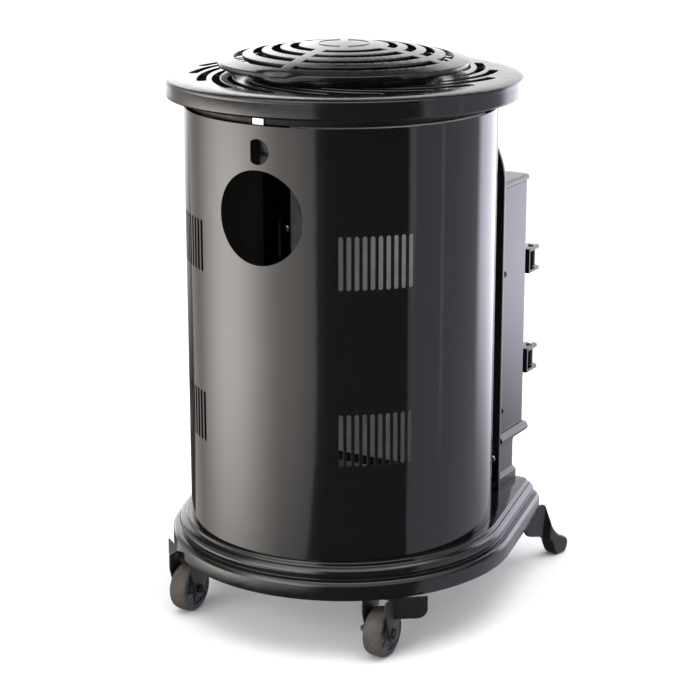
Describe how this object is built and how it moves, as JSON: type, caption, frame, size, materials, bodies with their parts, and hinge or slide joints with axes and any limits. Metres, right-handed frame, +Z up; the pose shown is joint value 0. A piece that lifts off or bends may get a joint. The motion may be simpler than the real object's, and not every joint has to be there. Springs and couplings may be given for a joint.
{
  "type": "portable gas cabinet heater",
  "caption": "Stove-shaped portable room heater: round bottle cabinet with pull-off rear cover, grille top, glazed firebox door, two castors and two legs.",
  "frame": {"origin": "on the floor, under the centre of the object's box", "axes": "+Z up; -Y is the front, where the firebox door is; +Y is the back, where the round cover is; the object is symmetric in outline about the YZ plane"},
  "size_m": [0.458, 0.5196, 0.7435],
  "materials": {
    "cast_enamel": "gloss black vitreous enamel over sand-cast iron",
    "sheet_enamel": "deep gloss black enamel on sheet steel",
    "galvanised": "galvanised sheet",
    "bracket_paint": "satin black paint",
    "zinc_plate": "bright zinc plate",
    "brass": "machined",
    "aluminium": "plain aluminised sheet and pipe",
    "fire_ceramic": "matt fibre ceramic",
    "fire_glass": "heat-proof clear glass",
    "black_plastic": "black phenolic",
    "red_plastic": "moulded",
    "tyre": "worn grey-brown rubber",
    "hub": "moulded"
  },
  "bodies": {
    "cabinet": {"base_casting": "cast_enamel", "floor_pan": "galvanised", "leg_left": "cast_enamel", "leg_right": "cast_enamel", "castor_bracket_left": "bracket_paint", "castor_bracket_right": "bracket_paint", "castor_axle_left": "bracket_paint", "castor_axle_right": "bracket_paint", "side_panel_left": "sheet_enamel", "side_panel_right": "sheet_enamel", "divider_panel": "galvanised", "divider_screw_left": "zinc_plate", "divider_screw_right": "zinc_plate", "fascia": "cast_enamel", "fascia_screw_left": "zinc_plate", "fascia_screw_right": "zinc_plate", "spandrel_panel": "sheet_enamel", "cover_catch": "zinc_plate", "top_plate": "cast_enamel", "plinth": "cast_enamel", "firebox_housing": "sheet_enamel", "housing_screw_left_lower": "bracket_paint", "housing_screw_left_upper": "bracket_paint", "housing_screw_right_lower": "bracket_paint", "housing_screw_right_upper": "bracket_paint", "housing_cap": "cast_enamel", "hinge_lug_lower": "cast_enamel", "hinge_lug_upper": "cast_enamel", "hinge_screw_lower": "zinc_plate", "hinge_screw_upper": "zinc_plate", "hinge_pin_lower": "zinc_plate", "hinge_pin_upper": "zinc_plate", "firebox_back": "aluminium", "burner_box": "aluminium", "coal_bed": "fire_ceramic", "pilot_burner": "brass", "thermocouple": "zinc_plate", "spark_electrode": "fire_ceramic", "gas_tap": "brass", "inlet_nozzle": "brass", "manifold_pipe": "aluminium", "injector": "brass", "piezo_igniter": "black_plastic", "door_catch": "bracket_paint"},
    "cover": {"rear_cover": "sheet_enamel"},
    "lid": {"grille_lid": "cast_enamel"},
    "door": {"door_frame": "cast_enamel", "door_glass": "fire_glass", "door_knob": "zinc_plate"},
    "spindle": {"tap_spindle": "zinc_plate"},
    "knob": {"control_knob": "black_plastic"},
    "button": {"igniter_button": "red_plastic"},
    "left_wheel": {"castor_tyre_left": "tyre", "castor_hub_left": "hub"},
    "right_wheel": {"castor_tyre_right": "tyre", "castor_hub_right": "hub"}
  },
  "joints": [
    {"name": "cover_pull", "type": "slide", "parent": "cabinet", "child": "cover", "axis": [0, 1, 0], "range_m": [0, 0.25]},
    {"name": "lid_lift", "type": "slide", "parent": "cabinet", "child": "lid", "axis": [0, 0, 1], "range_m": [0, 0.12]},
    {"name": "door_hinge", "type": "hinge", "parent": "cabinet", "child": "door", "pos_m": [-0.141, -0.2412, 0.355], "axis": [0, 0, -1], "range_deg": [0, 120]},
    {"name": "tap_push", "type": "slide", "parent": "cabinet", "child": "spindle", "axis": [0, 1, 0], "range_m": [0, 0.005], "stiffness_N_per_m": 400},
    {"name": "tap_turn", "type": "hinge", "parent": "spindle", "child": "knob", "pos_m": [-0.05, -0.1342, 0.6], "axis": [0, -1, 0], "range_deg": [0, 210]},
    {"name": "igniter_push", "type": "slide", "parent": "cabinet", "child": "button", "axis": [0, 1, 0], "range_m": [0, 0.005], "stiffness_N_per_m": 400},
    {"name": "left_castor_roll", "type": "hinge", "parent": "cabinet", "child": "left_wheel", "pos_m": [-0.146, 0.1878, 0.0315], "axis": [1, 0, 0], "continuous": true},
    {"name": "right_castor_roll", "type": "hinge", "parent": "cabinet", "child": "right_wheel", "pos_m": [0.146, 0.1878, 0.0315], "axis": [1, 0, 0], "continuous": true}
  ]
}
